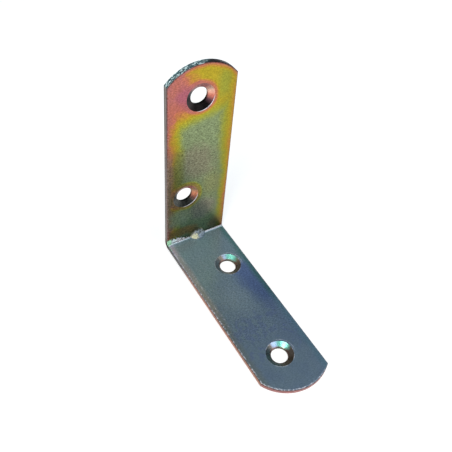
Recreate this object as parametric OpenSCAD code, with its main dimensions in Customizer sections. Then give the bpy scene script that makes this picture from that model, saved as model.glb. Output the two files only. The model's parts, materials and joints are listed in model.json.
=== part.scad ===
// Reinforced angle bracket: one flat strip with round ends, punched, countersunk and folded
// to a right angle, with a gusset pressed into the middle of the fold.
// The bracket stands on its foot. The origin is the middle of the footprint, on the ground:
// +X runs along the foot away from the upright arm, and +Z runs up that arm.

/* [Strip] */
// Length of each arm, from the outside of the fold to the tip of its round end
arm_length = 60; // [52:1:100]
// Width of the strip
strip_width = 19; // [16:0.5:24]
// Thickness of the sheet
sheet = 1.5; // [1.2:0.1:2.5]
// Rounding that the punch leaves along the edges of the inner faces
edge_roll = 0.3; // [0.2:0.05:0.6]

/* [Round ends] */
// How far each round end stands out beyond its two corners
end_rise = 4.4; // [3:0.2:6]
// How far the foot's round end was punched off the middle of the strip
foot_end_shift = 1.6; // [0:0.1:2]

/* [Fold] */
// Radius on the inside of the fold
fold_radius = 0.5; // [0.4:0.1:2]
// How far the gusset climbs up the upright arm, from the foot's inner face
gusset_climb = 3; // [2:0.1:4]
// How far the gusset reaches out along the foot, from the upright arm's inner face
gusset_reach = 2.2; // [1.6:0.1:4]
// How far the gusset was pressed off the middle of the strip
gusset_shift = 0.5; // [0:0.1:2]
// Radius of the gusset's rounded back
gusset_radius = 3; // [2.5:0.1:4]
// Metal left between the gusset and the dent behind it
gusset_wall = 1.35; // [1:0.05:1.6]

/* [Screw holes] */
// Diameter of the screw holes
hole_diameter = 4.7; // [3.5:0.1:5.5]
// Diameter of the countersink where it meets the inner face
sink_diameter = 7.7; // [6.5:0.1:9]
// Height of the straight wall left in each hole under its countersink
hole_land = 0.6; // [0.2:0.05:0.9]
// Height of the upright arm's lower hole
upright_near_hole = 19.5; // [16:0.5:26]
// Distance from the upright arm's tip down to its upper hole
upright_tip_margin = 9; // [8:0.5:14]
// Distance of the foot's near hole from the back of the upright arm
foot_near_hole = 16; // [14:0.5:26]
// Distance from the foot's tip back to its far hole
foot_tip_margin = 11.5; // [8:0.5:14]
// Sideways stagger of the upright arm's lower hole
upright_stagger = -3.8; // [-4:0.1:0]
// Sideways stagger of the foot's near hole
foot_stagger = 3; // [0:0.5:4]
// How far the upright arm's upper hole was punched off the middle of the strip
upright_far_shift = -0.5; // [-1.5:0.1:1.5]
// How far the foot's far hole was punched off the middle of the strip
foot_far_shift = -0.3; // [-1.5:0.1:1.5]

/* [Hidden] */
$fn = 96;
half_width = strip_width / 2;
// Distance from the outside of the fold to where the flat of an arm begins
fold_reach = fold_radius + sheet;
// Radius of the arc whose chord is the strip's width and whose height is end_rise
end_radius = (end_rise * end_rise + half_width * half_width) / (2 * end_rise);
end_centre = arm_length - end_radius;
end_shift_limit = end_radius - half_width - edge_roll;
// The gusset's back is a round bar that runs from arm to arm, across the corner of the fold.
// Its crest line joins the two arms' inner faces at gusset_climb and gusset_reach.
gusset_slope = atan(gusset_climb / gusset_reach);
gusset_middle = [sheet + gusset_reach / 2, gusset_shift, sheet + gusset_climb / 2];
gusset_inset = gusset_radius * [sin(gusset_slope), 0, cos(gusset_slope)];
gusset_length = 4 * norm([gusset_reach, gusset_climb]) + 4 * sheet;
gusset_root = 0.8 * sheet;
dent_radius = gusset_radius - gusset_wall;
// Steps of the quarter round along a punched edge
roll_steps = 4;
// Length by which a cutter stands clear of the metal
clear = 1;

// Section of the strip: across along X and the sheet's thickness along Y,
// with both upper edges rolled over
function roll_point(i) = edge_roll * [sin(90 * i / roll_steps) - 1, cos(90 * i / roll_steps) - 1];
function rolled_edge(reach) = [for (i = [roll_steps:-1:0]) [reach, sheet] + roll_point(i)];
function mirrored(points) = [for (i = [len(points) - 1:-1:0]) [-points[i][0], points[i][1]]];
strip_section = concat(
    [[-half_width, 0], [half_width, 0]], rolled_edge(half_width), mirrored(rolled_edge(half_width)));

// The flat of an arm, from the fold to beyond its tip
module strip() {
    translate([fold_reach, 0, 0])
        rotate([90, 0, 90])
            linear_extrude(arm_length - fold_reach) polygon(strip_section);
}

// What the punch cuts away round the end of an arm, with the rolled edge left standing
module end_trim(shift) {
    end_section = concat(
        [[0, -clear], [end_radius, -clear]], rolled_edge(end_radius),
        [[end_radius - edge_roll, sheet + clear], [0, sheet + clear]]);
    difference() {
        translate([end_centre, -strip_width, -clear / 2])
            cube([end_radius + clear, 2 * strip_width, sheet + clear]);
        translate([end_centre, shift, 0]) rotate_extrude() polygon(end_section);
    }
}

// Screw hole with its countersink opening on the inner face
module screw_hole(along, across) {
    sink_depth = sheet - hole_land;
    sink_flare = sink_diameter - hole_diameter;
    translate([along, across, 0]) {
        translate([0, 0, -clear]) cylinder(d = hole_diameter, h = sheet + 2 * clear);
        translate([0, 0, sheet - sink_depth])
            cylinder(d1 = hole_diameter, d2 = hole_diameter + 2 * sink_flare, h = 2 * sink_depth);
    }
}

// An arm lying along +X, with its outer face down
module arm(near_hole, tip_margin, stagger, far_shift, end_shift) {
    difference() {
        strip();
        end_trim(min(end_shift, end_shift_limit));
        screw_hole(near_hole, stagger);
        screw_hole(arm_length - tip_margin, far_shift);
    }
}

// Quarter turn of the strip between the two arms
module fold() {
    fold_section = [for (p = strip_section) [fold_reach - p[1], p[0]]];
    translate([fold_reach, 0, fold_reach])
        rotate([0, 180, 0]) rotate([90, 0, 0])
            rotate_extrude(angle = 90) polygon(fold_section);
}

// A round bar from arm to arm, round the axis of the gusset's back
module bar_across_fold(radius) {
    translate(gusset_middle - gusset_inset)
        rotate([0, gusset_slope - 90, 0])
            cylinder(r = radius, h = gusset_length, center = true);
}

// The pressed gusset, kept inside the corner between the arms
module gusset() {
    intersection() {
        bar_across_fold(gusset_radius);
        translate([gusset_root, -half_width, gusset_root])
            cube([gusset_length, strip_width, gusset_length]);
    }
}

module angle_bracket() {
    color("lightslategray")
        translate([-arm_length / 2, 0, 0])
            difference() {
                union() {
                    arm(foot_near_hole, foot_tip_margin, foot_stagger, foot_far_shift, foot_end_shift);
                    mirror([1, 0, -1])
                        arm(upright_near_hole, upright_tip_margin, upright_stagger, upright_far_shift, 0);
                    fold();
                    gusset();
                }
                bar_across_fold(dent_radius);
            }
}

angle_bracket();
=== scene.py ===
"""Looks of the reinforced angle bracket: zinc-plated steel with a yellow chromate film."""
import json
import math

import bpy
from mathutils import Matrix, Vector


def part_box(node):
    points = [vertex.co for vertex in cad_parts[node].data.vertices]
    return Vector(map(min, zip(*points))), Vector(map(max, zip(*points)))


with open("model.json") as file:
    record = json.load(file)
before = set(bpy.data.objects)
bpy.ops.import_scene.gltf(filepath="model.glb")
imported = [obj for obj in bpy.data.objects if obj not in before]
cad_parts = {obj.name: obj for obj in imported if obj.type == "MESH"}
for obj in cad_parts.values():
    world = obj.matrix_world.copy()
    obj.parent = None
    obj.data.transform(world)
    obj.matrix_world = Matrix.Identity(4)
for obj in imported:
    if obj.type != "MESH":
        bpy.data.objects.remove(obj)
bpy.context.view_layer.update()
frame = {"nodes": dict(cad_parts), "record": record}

MM = 0.001
bracket = frame["nodes"]["angle_bracket"]
low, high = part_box("angle_bracket")
mounts = {m["name"]: [c / MM for c in m["pos_m"]] for m in frame["record"]["mounts"]}

# Sizes in millimetres. On both arms "along" is the distance from the outside of the fold
# towards the tip, "across" is Y, and "depth" is the distance in from the outer face.
BACK = low.x / MM
HALF_WIDTH = (high.y - low.y) / 2 / MM
ARM = (high.z - low.z) / MM
SHEET = 1.5
SINK_RADIUS = 3.85
END_RADIUS = 12.456
END_SHIFT = 1.6
GUSSET_MIDDLE = 0.5
# The middle of each hole, along and across, on the foot and on the upright
HOLES = {
    "near": ((mounts["foot_near_hole"][0] - BACK, mounts["foot_near_hole"][1], 0),
             (mounts["upright_near_hole"][2], mounts["upright_near_hole"][1], 0)),
    "far": ((mounts["foot_far_hole"][0] - BACK, mounts["foot_far_hole"][1], 0),
            (mounts["upright_far_hole"][2], mounts["upright_far_hole"][1], 0)),
}

# Directions on an arm's face, along and across, away from a hole's middle
TO_TIP = (1.0, 0.0, 0.0)
TO_LEFT = (0.0, -1.0, 0.0)
LIT_ON_FOOT = (-0.8, 0.6, 0.0)
LIT_ON_UPRIGHT = (0.6, 0.8, 0.0)
PALE_RIM_SIDE = (-0.8, 0.6, 0.0)
PALE_ARC_SIDE = (-0.5, 0.87, 0.0)

# The photograph's camera, in millimetres and degrees
CAMERA_PLACE = (67.79, -57.89, 127.92)
CAMERA_AIM = (4.71, 0.0, 28.03)
CAMERA_ROLL = 11.9
CAMERA_LENS = 43.4
CAMERA_SHIFT = (-0.0885, 0.0619)

# The stage, in metres. The floor's glow grows to the backdrop's between two distances.
FLOOR_SIZE = 6.0
FLOOR_DROP = 0.00005
BACKDROP_RADIUS = 4.0
FLOOR_GLOW = 0.6
BACKDROP_GLOW = 1.0
GLOW_FROM = 0.25
GLOW_TO = 0.9

# The soft lights: place and size in millimetres, power in watts, colour
LIGHTS = {
    "key": ((190, -290, 430), 200, 1.1, (1, 1, 1)),
    "fill": ((230, 220, 400), 380, 0.85, (0.88, 0.95, 1.0)),
}
LIGHTS_AIM = (0, 0, 20)
ROOM_BRIGHT_SIDE = (-0.62, -0.30, 0.72)
ROOM_COLOUR = (0.80, 0.90, 1.0, 1)


def srgb(r, g, b):
    """Linear colour of an sRGB triple given in 0 to 255."""
    def linear(c):
        c /= 255
        return c / 12.92 if c <= 0.04045 else ((c + 0.055) / 1.055) ** 2.4
    return (linear(r), linear(g), linear(b), 1.0)


# Colours that the chromate film runs through, from the edges of the strip to its middle
FILM = [
    (0.00, srgb(174, 106, 104)),
    (0.16, srgb(188, 112, 90)),
    (0.34, srgb(190, 137, 60)),
    (0.52, srgb(179, 157, 44)),
    (0.70, srgb(158, 159, 60)),
    (0.88, srgb(134, 147, 100)),
    (1.00, srgb(127, 140, 112)),
]
# Pale zinc, also the colour of painted highlights along the fold and the edges
ZINC_AND_SHEEN = srgb(240, 238, 246)
BRONZE = srgb(120, 107, 95)

# Painted shade and highlight in the upright's countersinks, from the dark shaded side to the lit
# one
CONE_SHADE_AND_GLINT = {
    "far": [(0.0, srgb(56, 50, 50)), (0.4, srgb(104, 70, 78)),
            (0.75, srgb(206, 122, 102)), (1.0, srgb(255, 200, 174))],
    "near": [(0.0, srgb(76, 78, 74)), (0.4, srgb(120, 80, 70)),
             (0.75, srgb(206, 132, 100)), (1.0, srgb(246, 180, 140))],
}

# Where the upright's film is thicker or thinner: the middle along and across, the reach along
# and across, the colour, and how strongly it shows
BLOTS = (
    ((51.8, -5.0), (3.6, 2.4), srgb(168, 94, 110), 0.8),
    ((48.6, -7.0), (2.8, 3.0), srgb(190, 108, 82), 0.5),
    ((55.6, -6.2), (2.2, 1.8), srgb(190, 112, 94), 0.4),
    ((30.5, -0.5), (6.5, 6.5), srgb(132, 125, 104), 0.75),
    ((29.0, -6.3), (8.0, 2.3), srgb(118, 121, 68), 0.75),
    ((21.0, -9.6), (17.0, 2.4), srgb(158, 132, 100), 0.9),
    ((21.5, 4.6), (5.0, 3.6), srgb(144, 142, 88), 0.5),
    ((12.5, 1.8), (4.6, 5.0), srgb(142, 136, 120), 0.85),
    ((11.5, -6.0), (4.4, 4.2), srgb(160, 166, 134), 0.8),
    ((5.2, -5.0), (2.2, 5.5), srgb(160, 122, 68), 0.8),
    ((4.5, 6.5), (2.6, 3.0), srgb(150, 118, 76), 0.6),
)


class Nodes:
    """Builds a node tree with short calls. Every call but add and feed returns an output socket."""

    def __init__(self, tree):
        self.tree = tree

    def add(self, kind, **settings):
        node = self.tree.nodes.new(kind)
        for key, value in settings.items():
            setattr(node, key, value)
        return node

    def feed(self, socket, value):
        """Links a socket to the input, or sets the input to a number or colour."""
        if isinstance(value, bpy.types.NodeSocket):
            self.tree.links.new(value, socket)
        elif value is not None:
            socket.default_value = value

    def math(self, operation, a, b=None, c=None):
        node = self.add("ShaderNodeMath", operation=operation)
        for socket, value in zip(node.inputs, (a, b, c)):
            self.feed(socket, value)
        return node.outputs[0]

    def chain(self, operation, values, c=None):
        total = values[0]
        for value in values[1:]:
            total = self.math(operation, total, value, c)
        return total

    def product(self, *values):
        return self.chain("MULTIPLY", values)

    def plus(self, *values):
        return self.chain("ADD", values)

    def largest(self, *values):
        return self.chain("MAXIMUM", values)

    def soft_least(self, blend, *values):
        """The least of the values, rounded off where two of them cross."""
        return self.chain("SMOOTH_MIN", values, blend)

    def minus(self, a, b):
        return self.math("SUBTRACT", a, b)

    def ease(self, value, start, end, low=0.0, high=1.0):
        """Smooth step of value from low at start to high at end."""
        node = self.add("ShaderNodeMapRange", interpolation_type="SMOOTHSTEP")
        for socket, v in zip(node.inputs, (value, start, end, low, high)):
            self.feed(socket, v)
        return node.outputs[0]

    def line(self, value, outside, inside):
        """1 where value is nearer to 0 than inside, and 0 beyond outside, on both sides."""
        return self.ease(self.math("ABSOLUTE", value), outside, inside)

    def mix(self, share, a, b, blend="MIX"):
        node = self.add("ShaderNodeMix", data_type="RGBA", blend_type=blend)
        self.feed(node.inputs[0], share)
        self.feed(node.inputs[6], a)
        self.feed(node.inputs[7], b)
        return node.outputs[2]

    def mix_value(self, share, a, b):
        return self.plus(self.product(a, self.minus(1.0, share)), self.product(b, share))

    def choose(self, share, a, b):
        """A vector between a and b."""
        node = self.add("ShaderNodeMix", data_type="VECTOR")
        self.feed(node.inputs[0], share)
        self.feed(node.inputs[4], a)
        self.feed(node.inputs[5], b)
        return node.outputs[1]

    def point(self, x, y, z=0.0):
        node = self.add("ShaderNodeCombineXYZ")
        for socket, value in zip(node.inputs, (x, y, z)):
            self.feed(socket, value)
        return node.outputs[0]

    def vector(self, operation, a, b=None, output=0):
        node = self.add("ShaderNodeVectorMath", operation=operation)
        self.feed(node.inputs[0], a)
        self.feed(node.inputs[1], b)
        return node.outputs[output]

    def length(self, a):
        return self.vector("LENGTH", a, output=1)

    def dot(self, a, b):
        return self.vector("DOT_PRODUCT", a, b, output=1)

    def noise(self, place, scale, detail=3.0, roughness=0.55):
        """Noise about 0, from about -0.5 to 0.5, with scale in lumps per unit of place."""
        node = self.add("ShaderNodeTexNoise")
        settings = {"Vector": place, "Scale": scale, "Detail": detail, "Roughness": roughness}
        for key, value in settings.items():
            self.feed(node.inputs[key], value)
        return self.minus(node.outputs["Fac"], 0.5)

    def ramp(self, value, stops):
        node = self.add("ShaderNodeValToRGB")
        points = node.color_ramp.elements
        for i, (place, colour) in enumerate(stops):
            point = points[i] if i < len(points) else points.new(place)
            point.position = place
            point.color = colour
        self.feed(node.inputs[0], value)
        return node.outputs[0]

    def shade(self, colour, amount):
        return self.mix(1.0, colour, self.point(amount, amount, amount), "MULTIPLY")


class Place:
    """Where a point of the surface is on the bracket, in millimetres.

    upright and inner are shares from 0 to 1: on the upright and not the foot, and in from the
    outer face. lean is above 0 on the upright and below 0 on the foot. wander and patches are
    slow and quicker noise, which keep the film's borders from running straight.
    """

    def __init__(self, n):
        coordinates = n.add("ShaderNodeTexCoord").outputs["Object"]
        scale = n.add("ShaderNodeVectorMath", operation="SCALE")
        scale.inputs["Scale"].default_value = 1 / MM
        n.feed(scale.inputs[0], coordinates)
        self.point = scale.outputs[0]
        split = n.add("ShaderNodeSeparateXYZ")
        n.feed(split.inputs[0], self.point)
        x, self.across, height = split.outputs
        out = n.minus(x, BACK)
        self.along = n.math("MAXIMUM", out, height)
        self.depth = n.math("MINIMUM", out, height)
        self.lean = n.minus(height, out)
        self.upright = n.ease(self.lean, -0.2, 0.2)
        self.inner = n.ease(self.depth, 0.85, 1.05)
        self.flat = n.point(self.along, self.across)
        self.from_left = n.plus(self.across, HALF_WIDTH)
        self.from_right = n.minus(HALF_WIDTH, self.across)
        self.from_side = n.math("MINIMUM", self.from_left, self.from_right)
        self.from_tip = self.tip_distance(n)
        self.from_rim = n.math("MINIMUM", self.from_side, self.from_tip)
        self.wander = n.noise(self.point, 0.16, 3.0)
        self.patches = n.noise(self.point, 0.55, 3.0)
        self.holes = {which: self.hole(n, middles) for which, middles in HOLES.items()}

    def tip_distance(self, n):
        """Distance in from the round end, which on the foot sits off the middle."""
        beyond = n.minus(self.along, ARM - END_RADIUS)
        shift = n.ease(self.upright, 0.0, 1.0, END_SHIFT, 0.0)
        swing = n.point(n.math("MAXIMUM", beyond, 0.0), n.minus(self.across, shift))
        before = n.math("MAXIMUM", n.product(beyond, -1.0), 0.0)
        return n.plus(n.minus(END_RADIUS, n.length(swing)), before)

    def drift(self, n, wander, patches):
        """Noise to add to a distance, with the strengths of its slow and quick parts."""
        return n.plus(n.product(self.wander, wander), n.product(self.patches, patches))

    def oval(self, n, centre, reach):
        """Distance from a point on the arm's face, in units of reach, with a ragged edge."""
        off = n.vector("SUBTRACT", self.flat, (*centre, 0))
        return n.plus(n.length(n.vector("DIVIDE", off, (*reach, 1))), self.drift(n, 0.9, 0.5))

    def hole(self, n, middles):
        """Distance from a hole's axis, and the direction away from it."""
        off = n.vector("SUBTRACT", self.flat, n.choose(self.upright, *middles))
        return n.length(off), n.vector("NORMALIZE", off)


def upright_tone(n, at):
    """How thick the film is on the upright, from 0 for rose to 1 for green-grey."""
    drift = at.drift(n, 3.0, 1.6)
    left = n.ease(n.plus(at.from_left, drift), -1.5, 6.5)
    right_start = n.ease(at.along, 24.0, 40.0, -1.9, -4.8)
    right_end = n.ease(at.along, 24.0, 40.0, 4.2, 6.5)
    right = n.ease(n.plus(at.from_right, drift), right_start, right_end, -0.02, 0.95)
    climb = n.plus(at.along, n.product(at.across, -0.28), n.product(drift, 0.8))
    olive = n.ease(at.oval(n, (54.0, 6.2), (5.5, 2.8)), 1.2, 0.3, 0.53, 0.68)
    top = n.ease(climb, 42.0, 48.0, 0.94, olive)
    tip = n.ease(n.plus(at.from_tip, n.product(drift, 0.5)), -0.6, 3.2, 0.05, 1.0)
    tone = n.soft_least(0.1, left, right, top, tip)
    # The film thins to rose beside the upper hole, and to orange round both holes
    rose = n.ease(at.oval(n, (53.0, -8.2), (6.4, 6.0)), 1.6, 0.1, 0.0, 0.72)
    far_ring = n.ease(at.holes["far"][0], 5.4, 4.2, 0.0, 0.36)
    near_ring = n.ease(at.holes["near"][0], 5.8, 4.2, 0.0, 0.42)
    least = n.plus(n.product(at.patches, 0.3), 0.05)
    return n.math("MAXIMUM", n.minus(tone, n.plus(rose, far_ring, near_ring)), least)


def upright_film(n, at):
    """Rose, orange and gold towards the edges and the tip, green-grey in the middle."""
    colour = n.ramp(upright_tone(n, at), FILM)
    for centre, reach, paint, strength in BLOTS:
        share = n.ease(at.oval(n, centre, reach), 1.2, 0.4, 0.0, strength)
        colour = n.mix(share, colour, paint)
    brown = n.ease(at.holes["near"][0], 5.1, 4.4, 0.0, 0.7)
    colour = n.mix(brown, colour, srgb(152, 128, 78))
    # Painted shade: darker towards the fold, and most of all at its right end
    fold_shade = n.product(n.ease(at.along, 2.0, 10.0, 0.66, 0.96),
                         n.ease(at.along, 18.0, 48.0, 0.82, 1.0))
    right_end_shade = n.ease(at.across, 3.0, 8.0, 1.0, n.ease(at.along, 5.0, 22.0, 0.66, 0.84))
    return n.shade(colour, n.product(fold_shade, right_end_shade))


def foot_film(n, at):
    """Slate with a lighter middle, a violet right side, a teal right edge and a warm left one."""
    slates = [(0.25, srgb(138, 158, 178)), (0.75, srgb(148, 169, 180))]
    colour = n.ramp(n.plus(n.product(at.wander, 1.6), 0.5), slates)
    light = n.ease(at.oval(n, (30.0, -1.0), (6.5, 4.5)), 1.3, 0.3, 0.0, 0.7)
    colour = n.mix(light, colour, srgb(162, 182, 190))

    drift = at.drift(n, 5.0, 2.0)
    moved = n.plus(at.along, drift)
    widening = n.ease(at.along, 22.0, 34.0, 0.0, -2.2)
    side = n.ease(n.plus(at.across, drift, widening), 0.0, 5.5)
    stretch = n.product(n.ease(moved, 14.0, 19.0), n.ease(moved, 38.0, 30.0, 0.3, 1.0),
                        n.ease(moved, 54.0, 46.0))
    violet = n.product(side, stretch)
    colour = n.mix(n.product(violet, 0.95), colour, srgb(108, 130, 174))
    lumps = n.plus(at.patches, n.product(at.wander, 0.8))
    spots = n.product(n.ease(lumps, 0.02, 0.14, 0.0, 0.4), n.ease(at.along, 30.0, 37.0),
                      n.ease(at.along, 52.0, 46.0))
    colour = n.mix(spots, colour, srgb(120, 134, 182))
    near = n.ease(n.plus(at.along, n.product(drift, 0.5)), 28.0, 12.0, 0.0, 0.9)
    colour = n.mix(n.product(near, n.minus(1.0, violet)), colour, srgb(130, 153, 163))

    right_edge = n.ease(n.plus(at.from_right, n.product(drift, 0.25)), 2.6, 0.6)
    teal = n.mix(n.ease(at.along, 28.0, 36.0), srgb(84, 130, 126), srgb(126, 160, 176))
    colour = n.mix(n.product(right_edge, 0.85), colour, teal)
    left_edge = n.ease(n.plus(at.from_left, n.product(drift, 0.2)), 2.4, 0.5)
    warm = n.mix(n.ease(at.along, 26.0, 38.0), srgb(172, 167, 165), srgb(146, 156, 152))
    warm = n.mix(n.ease(at.along, 9.0, 5.0), warm, srgb(196, 186, 206))
    return n.mix(n.product(left_edge, 0.85), colour, warm)


def outer_film(n, at):
    """The film on the faces that lie against the wall and the floor."""
    drift = at.drift(n, 4.0, 2.0)
    side = n.ease(n.plus(at.from_side, drift), -2.5, 6.0, 0.0, 0.85)
    tip = n.ease(n.plus(at.from_tip, drift), -1.0, 9.0, 0.1, 1.0)
    tone = n.soft_least(0.15, side, tip)
    return n.ramp(n.plus(tone, n.product(n.noise(at.point, 0.07, 2.0), 0.7)), FILM)


def cut_edges(n, at, colour):
    """The punched walls round the strip, streaked along their length.

    Returns the colour, and the share of the frosted pale dashes on the upright's tip.
    """
    streaks = n.noise(n.point(n.product(at.along, 0.5), n.product(at.across, 0.8),
                              n.product(at.depth, 4.0)), 1.0, 4.0)
    beyond_fold = n.ease(n.plus(at.along, n.product(at.patches, 6.0)), 9.0, 16.0)
    bronze = n.mix(beyond_fold, srgb(66, 62, 60), srgb(162, 112, 90))
    bands = n.ease(n.plus(at.depth, n.product(at.patches, 0.6)), 0.5, 0.8)
    side = n.mix(at.upright, bronze, n.mix(bands, srgb(88, 80, 70), srgb(130, 114, 110)))

    dashes = n.noise(n.point(n.product(at.across, 1.3), n.product(at.depth, 3.5),
                             n.product(at.along, 1.3)), 1.0, 2.0)
    moved = n.plus(at.across, n.product(at.patches, 4.0))
    pale = n.product(n.ease(dashes, -0.02, 0.08), n.ease(moved, 2.5, -1.0))
    dark = n.mix(n.ease(moved, -1.0, 2.5), srgb(104, 142, 144), srgb(44, 44, 46))
    tip = n.mix(at.upright, srgb(158, 108, 104), n.mix(pale, dark, srgb(224, 248, 246)))

    at_tip = n.ease(n.minus(at.from_tip, at.from_side), 0.15, -0.15)
    wall = n.shade(n.mix(at_tip, side, tip), n.plus(n.product(streaks, 2.0), 1.0))
    share = n.ease(at.from_rim, 0.12, 0.03)
    return n.mix(share, colour, wall), n.product(pale, at_tip, at.upright, share)


def hole_walls(n, at, colour, which):
    """Countersink and bore: dark bronze, with a painted highlight on the side to the light.

    Returns the colour, and the share of the upper side of an upright's countersink, which is
    dull, so that it shows the film and no white sheen.
    """
    radius, away = at.holes[which]
    # Painted highlight on the side towards the light, and painted shade on the far side
    facing = n.dot(away, n.choose(at.upright, LIT_ON_FOOT, LIT_ON_UPRIGHT))
    aside = n.dot(away, TO_LEFT)
    cyan = n.mix(n.ease(aside, -0.55, -0.15), srgb(140, 236, 212), srgb(172, 192, 222))
    plain = n.mix(n.ease(aside, 0.1, 0.8), BRONZE, srgb(104, 116, 120))
    lit = n.ease(n.plus(facing, n.product(at.patches, 0.5)), 0.6, 0.95)
    on_foot = n.mix(lit, plain, cyan)
    on_foot = n.mix(n.ease(at.depth, 0.9, 0.65, 0.0, 0.8), on_foot, srgb(128, 84, 72))
    upper = n.product(n.ease(n.dot(away, TO_TIP), 0.5, 0.85), at.upright)
    on_upright = n.mix(upper, n.ramp(facing, CONE_SHADE_AND_GLINT[which]), srgb(150, 88, 84))
    wall = n.mix(at.upright, on_foot, on_upright)
    # Painted shade: darker deeper down in the bore
    wall = n.shade(wall, n.ease(at.depth, 0.55, 0.7, 0.25, 1.0))
    inside = n.product(n.ease(radius, SINK_RADIUS + 0.06, SINK_RADIUS - 0.06),
                       n.ease(at.depth, 0.02, 0.1))
    return n.mix(inside, colour, wall), n.product(inside, upper)


def fold_wear_and_highlight(n, at, specks):
    """A thin line along the fold, and a speckled patch above it towards the left edge."""
    # Zinc where the film wore, and a painted highlight on the fold's rounded root
    beside = n.ease(n.math("ABSOLUTE", n.minus(at.across, GUSSET_MIDDLE)), 2.3, 3.0)
    line = n.product(n.ease(at.along, 1.92, 1.68), n.ease(at.depth, 1.4, 1.55),
                     n.ease(at.across, -3.0, 3.0, 0.7, 1.0), beside)
    reach = n.plus(n.ease(at.across, -1.8, -7.6, -0.3, 1.7), n.product(specks, 5.5))
    patch = n.ease(n.minus(reach, n.minus(at.along, SHEET + 0.3)), -0.2, 0.6, 0.0, 0.95)
    patch = n.product(patch, n.ease(at.depth, 1.2, 1.45), n.ease(at.lean, -0.6, 0.0),
                      n.ease(at.across, -1.8, -3.0))
    return n.largest(line, patch)


def gusset_wear_and_glint(n, at, specks):
    """The speckled back of the gusset, and a painted highlight low on its left side."""
    back = n.product(n.ease(at.depth, SHEET + 0.03, SHEET + 0.7),
                     n.plus(n.product(specks, 3.0), 0.66))
    off = n.point(n.product(n.plus(at.across, 0.9), 0.85), n.product(n.plus(at.lean, 0.5), 0.75))
    spot = n.ease(n.plus(n.length(off), n.product(specks, 2.0)), 1.2, 0.7)
    return back, n.product(spot, n.ease(at.depth, SHEET + 0.05, SHEET + 0.3))


def edge_wear_and_highlight(n, at, specks):
    """The rolled edges, with wear and a painted highlight, and a pale line inside the foot's left
    edge.
    """
    roll = n.product(n.ease(at.from_rim, 0.5, 0.3), n.ease(at.from_rim, 0.02, 0.1), at.inner)
    on_foot = n.ease(at.from_right, 1.0, 4.0, 0.3, 1.0)
    roll = n.product(roll, n.ease(specks, -0.03, 0.1, 0.05, 0.62),
                     n.ease(at.upright, 0.0, 1.0, on_foot, 0.15))
    off = n.minus(at.from_left, n.plus(n.product(at.wander, 1.6), 1.5))
    inner_line = n.product(n.line(off, 0.28, 0.08), n.ease(specks, 0.0, 0.1, 0.0, 0.42))
    inner_line = n.product(inner_line, at.inner, n.ease(at.lean, -4.0, -9.0), n.ease(at.lean, -38.0, -28.0))
    return n.largest(roll, inner_line)


def pale_rims(n, at, fine, which):
    """A hole's rim, pale in pieces on the foot and on the upright's lower side only.

    Beside the foot's holes there are faint pale arcs.
    """
    radius, away = at.holes[which]
    rim = n.line(n.minus(radius, SINK_RADIUS + 0.03), 0.13, 0.04)
    lower_side = n.ease(n.dot(away, PALE_RIM_SIDE), 0.55, 0.95)
    broken = n.ease(n.plus(fine, at.patches), -0.05, 0.15, 0.05, 0.55)
    arc = n.line(n.minus(radius, SINK_RADIUS + 0.5), 0.16, 0.05)
    pale_arcs = n.product(arc, n.ease(n.dot(away, PALE_ARC_SIDE), 0.5, 0.9),
                       n.ease(fine, -0.1, 0.1, 0.1, 0.45), n.minus(1.0, at.upright), at.inner)
    return n.largest(pale_arcs, n.product(rim, at.inner, n.mix_value(at.upright, broken, lower_side)))


def wear_and_highlights(n, at):
    """Shares of zinc showing through the film and of painted highlights, and their colour."""
    fine = n.noise(at.point, 1.8, 4.0)
    specks = n.noise(at.point, 1.5, 3.0, 0.65)
    gusset, glint = gusset_wear_and_glint(n, at, specks)
    wear_and_glints = n.largest(fold_wear_and_highlight(n, at, specks), gusset, glint, edge_wear_and_highlight(n, at, specks),
                     *(pale_rims(n, at, fine, which) for which in HOLES))

    # Painted highlight, green and pale blue, at the fold's left end
    corner = n.product(n.ease(at.from_left, 3.6, 2.2), n.ease(at.along, 5.0, 3.5))
    green = n.mix(n.ease(at.from_left, 0.9, 1.6), srgb(184, 248, 200), srgb(226, 244, 246))
    tint = n.mix(corner, ZINC_AND_SHEEN, green)
    # Painted light and shade on the gusset: warm and pale on its left side, bluish on its right
    on_gusset = n.mix(n.ease(at.across, -1.4, 0.2), srgb(226, 218, 212), srgb(168, 180, 196))
    tint = n.mix(n.ease(at.depth, SHEET + 0.05, SHEET + 0.3), tint, on_gusset)
    # Painted highlight: pale yellow on the gusset's bright spot
    return wear_and_glints, n.mix(glint, tint, srgb(255, 250, 206))


def grain_strength(n, at):
    """Stronger on the upright than on the foot, and weaker where the film is golden."""
    golden = n.math("MAXIMUM", n.ease(at.from_rim, 5.0, 2.5), n.ease(at.along, 40.0, 47.0))
    golden = n.product(golden, n.math("MAXIMUM", n.ease(at.across, -5.0, -1.0),
                                      n.ease(at.along, 31.0, 36.0, 0.0, 0.75)))
    on_foot = n.ease(at.along, 46.0, 40.0, 0.8, 1.7)
    on_upright = n.product(n.ease(golden, 0.0, 1.0, 2.6, 1.2),
                           n.ease(at.inner, 0.0, 1.0, 0.7, 1.0))
    return n.mix_value(at.upright, on_foot, on_upright)


def add_bump(n, height, strength, distance, normal=None):
    bump = n.add("ShaderNodeBump")
    bump.inputs["Strength"].default_value = strength
    bump.inputs["Distance"].default_value = distance
    n.feed(bump.inputs["Height"], height)
    n.feed(bump.inputs["Normal"], normal)
    return bump.outputs[0]


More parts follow.
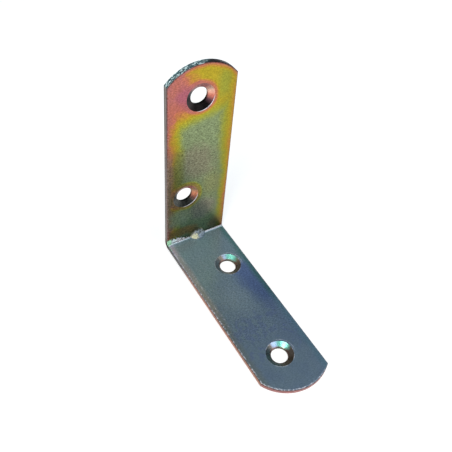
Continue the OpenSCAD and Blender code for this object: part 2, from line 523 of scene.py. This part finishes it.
def plated_steel():
    """The bracket's one material."""
    material = bpy.data.materials.new("plated_steel")
    material.use_nodes = True
    n = Nodes(material.node_tree)
    shader = material.node_tree.nodes["Principled BSDF"]
    at = Place(n)

    inner = n.mix(at.upright, foot_film(n, at), upright_film(n, at))
    colour = n.mix(at.inner, outer_film(n, at), inner)
    colour, frosted = cut_edges(n, at, colour)
    for which in HOLES:
        colour, dull = hole_walls(n, at, colour, which)
        frosted = n.math("MAXIMUM", frosted, dull)
    rolled = n.product(n.ease(at.from_rim, 0.36, 0.2), at.inner)
    colour = n.shade(colour, n.ease(rolled, 0.0, 1.0, 1.0, 0.65))
    # Zinc where the film is worn, and painted highlights along the fold, on the gusset and on the
    # edges
    wear_and_glints, zinc_and_glints = wear_and_highlights(n, at)
    colour = n.mix(wear_and_glints, colour, zinc_and_glints)

    # Grain of the rolled sheet, drawn out across the strip, and the fine speckle of the plating
    rolled_out = n.vector("MULTIPLY", at.point, (1.2, 0.6, 1.2))
    grain = n.noise(rolled_out, 2.8, 3.0, 0.6)
    speckle = n.noise(rolled_out, 5.0, 2.0)
    texture = n.plus(grain, n.product(speckle, 0.5))
    tint = n.plus(n.product(grain_strength(n, at), texture), 1.0)
    n.feed(shader.inputs["Base Color"], n.shade(colour, tint))

    # The foot mirrors less than the upright near the fold, and worn or frosted places and the
    # painted highlights hardly
    plating = n.mix_value(at.upright, n.ease(at.lean, -34.0, -6.0, 1.0, 0.45), 1.0)
    matt = n.ease(n.math("MAXIMUM", wear_and_glints, frosted), 0.0, 0.9, 1.0, 0.05)
    n.feed(shader.inputs["Metallic"], n.product(plating, matt))
    roughness = n.plus(n.product(at.patches, 0.16), n.product(grain, 0.1),
                       n.product(rolled, 0.2), 0.33)
    n.feed(shader.inputs["Roughness"], roughness)

    relief = n.plus(texture, n.product(at.patches, 2.0))
    surface = add_bump(n, relief, 0.35, 0.02 * MM)
    # The root of the fold looks rounder than the solid's, most of all at the left edge
    reach = n.mix_value(at.upright, 0.9, n.ease(at.across, -6.0, -2.0, 2.2, 0.7))
    beyond = n.math("DIVIDE", n.minus(at.along, SHEET), reach)
    left_over = n.math("MAXIMUM", n.minus(1.0, beyond), 0.0)
    root = n.product(left_over, left_over, reach, 0.5, n.ease(at.depth, SHEET + 0.2, SHEET))
    n.feed(shader.inputs["Normal"], add_bump(n, root, 1.0, MM, surface))
    return material


def aim(thing, place, target, roll=0.0):
    """Stands a camera or light at place, in millimetres, looking at target."""
    place, target = Vector(place) * MM, Vector(target) * MM
    turn = (target - place).to_track_quat("-Z", "Y").to_matrix()
    turn = turn @ Matrix.Rotation(math.radians(roll), 3, "Z")
    thing.matrix_world = Matrix.Translation(place) @ turn.to_4x4()


def add_camera():
    data = bpy.data.cameras.new("camera")
    data.lens = CAMERA_LENS
    data.shift_x, data.shift_y = CAMERA_SHIFT
    data.clip_start = 0.01
    camera = bpy.data.objects.new("camera", data)
    bpy.context.scene.collection.objects.link(camera)
    aim(camera, CAMERA_PLACE, CAMERA_AIM, CAMERA_ROLL)
    bpy.context.scene.camera = camera


def add_softbox(name, place, size, power, colour):
    data = bpy.data.lights.new(name, "AREA")
    data.shape = "DISK"
    data.size = size * MM
    data.energy = power
    data.color = colour
    light = bpy.data.objects.new(name, data)
    bpy.context.scene.collection.objects.link(light)
    aim(light, place, LIGHTS_AIM)


def plain_material(name, colour, glow):
    material = bpy.data.materials.new(name)
    material.use_nodes = True
    shader = material.node_tree.nodes["Principled BSDF"]
    shader.inputs["Base Color"].default_value = colour
    shader.inputs["Roughness"].default_value = 0.9
    shader.inputs["Specular IOR Level"].default_value = 0.0
    shader.inputs["Emission Color"].default_value = (1, 1, 1, 1)
    shader.inputs["Emission Strength"].default_value = glow
    return material


def floor_material():
    """Pale, and lit up away from the bracket so that it runs into the backdrop."""
    material = plain_material("floor", (0.8, 0.79, 0.78, 1), FLOOR_GLOW)
    n = Nodes(material.node_tree)
    away = n.length(n.add("ShaderNodeTexCoord").outputs["Object"])
    glow = n.ease(away, GLOW_FROM, GLOW_TO, FLOOR_GLOW, BACKDROP_GLOW)
    n.feed(material.node_tree.nodes["Principled BSDF"].inputs["Emission Strength"], glow)
    return material


def add_stage():
    """A pale floor, and a pale dome behind it that only the camera sees."""
    bpy.ops.mesh.primitive_plane_add(size=FLOOR_SIZE, location=(0, 0, -FLOOR_DROP))
    floor = bpy.context.object
    floor.name = "floor"
    floor.data.materials.append(floor_material())
    bpy.ops.mesh.primitive_uv_sphere_add(segments=48, ring_count=24, radius=BACKDROP_RADIUS)
    dome = bpy.context.object
    dome.name = "backdrop"
    dome.data.materials.append(plain_material("backdrop", (0, 0, 0, 1), BACKDROP_GLOW))
    for ray in ("diffuse", "glossy", "transmission", "volume_scatter", "shadow"):
        setattr(dome, "visible_" + ray, False)


def light_room():
    """A dim bluish room, darkest beyond the foot, and two soft lights.

    The key stands near the camera, and the fill over the foot.
    """
    world = bpy.data.worlds.new("room")
    bpy.context.scene.world = world
    world.use_nodes = True
    n = Nodes(world.node_tree)
    background = world.node_tree.nodes["Background"]
    direction = n.add("ShaderNodeTexCoord").outputs["Generated"]
    towards = n.dot(direction, ROOM_BRIGHT_SIDE)
    background.inputs["Color"].default_value = ROOM_COLOUR
    n.feed(background.inputs["Strength"], n.ease(towards, -0.5, 0.75, 0.03, 0.36))
    for name, settings in LIGHTS.items():
        add_softbox(name, *settings)


add_camera()
light_room()
add_stage()
bracket.data.materials.clear()
bracket.data.materials.append(plated_steel())
bpy.context.scene.view_settings.view_transform = "Standard"
